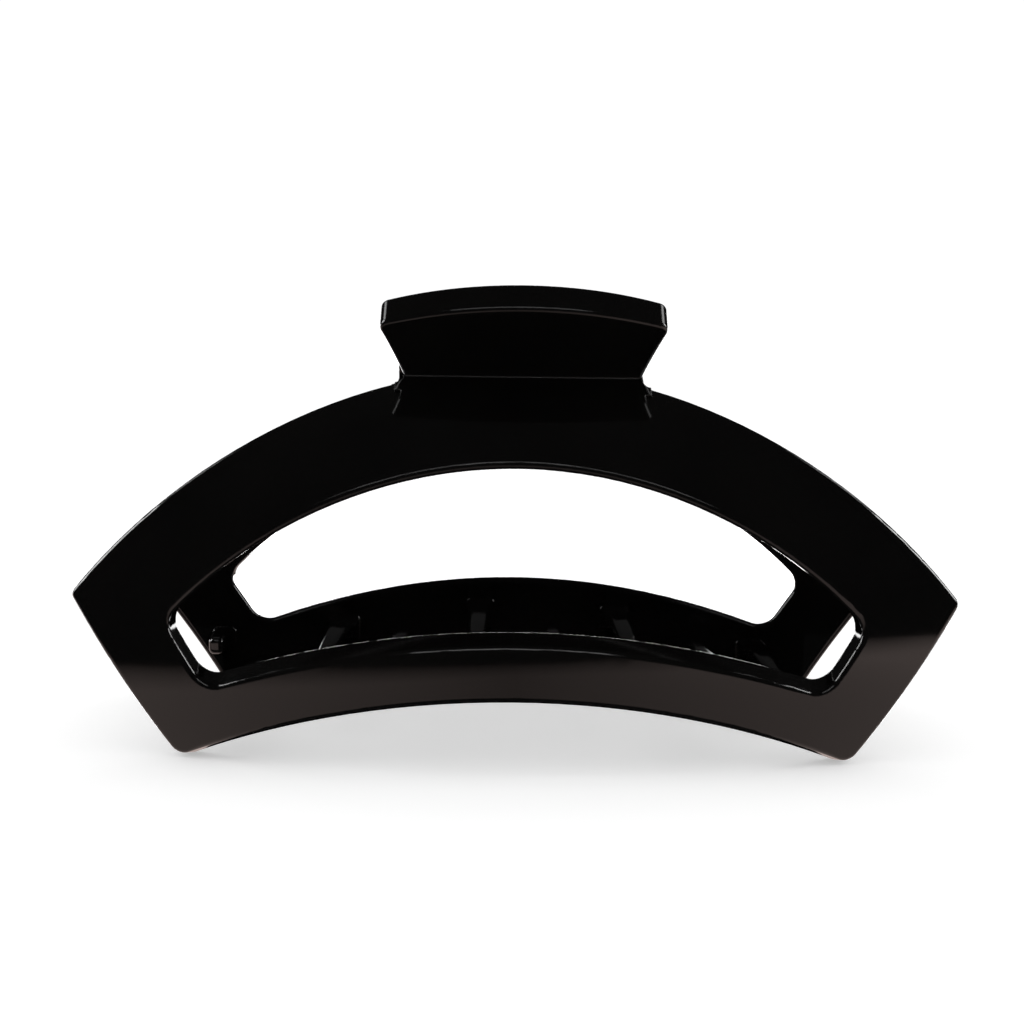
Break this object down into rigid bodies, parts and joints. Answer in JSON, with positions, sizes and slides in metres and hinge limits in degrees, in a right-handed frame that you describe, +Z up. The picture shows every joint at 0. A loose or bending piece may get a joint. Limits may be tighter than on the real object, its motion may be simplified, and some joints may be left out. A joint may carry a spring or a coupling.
{
  "type": "claw hair clip",
  "caption": "Open-frame claw hair clip: bowed jaws with interleaving teeth and finger handles, turning on a pin against a torsion spring.",
  "frame": {"origin": "middle of the base rectangle, on the plane that the closed clip's feet stand on", "axes": "+X along the clip and its hinge pin, +Y from the front jaw to the rear jaw, +Z up to the handles"},
  "size_m": [0.128, 0.058, 0.0687],
  "materials": {
    "jaw_plastic": "polished black",
    "pin_steel": "drawn rod",
    "spring_steel": "bright spring wire"
  },
  "bodies": {
    "front": {"front_jaw": "jaw_plastic", "hinge_pin": "pin_steel", "torsion_spring": "spring_steel"},
    "rear": {"rear_jaw": "jaw_plastic"}
  },
  "joints": [
    {"name": "jaw_hinge", "type": "hinge", "parent": "front", "child": "rear", "pos_m": [0, 0, 0.05466], "axis": [1, 0, 0], "range_deg": [0, 60], "stiffness_Nm_per_rad": 0.049, "springref_deg": -57.3, "deforming": ["torsion_spring"]}
  ]
}
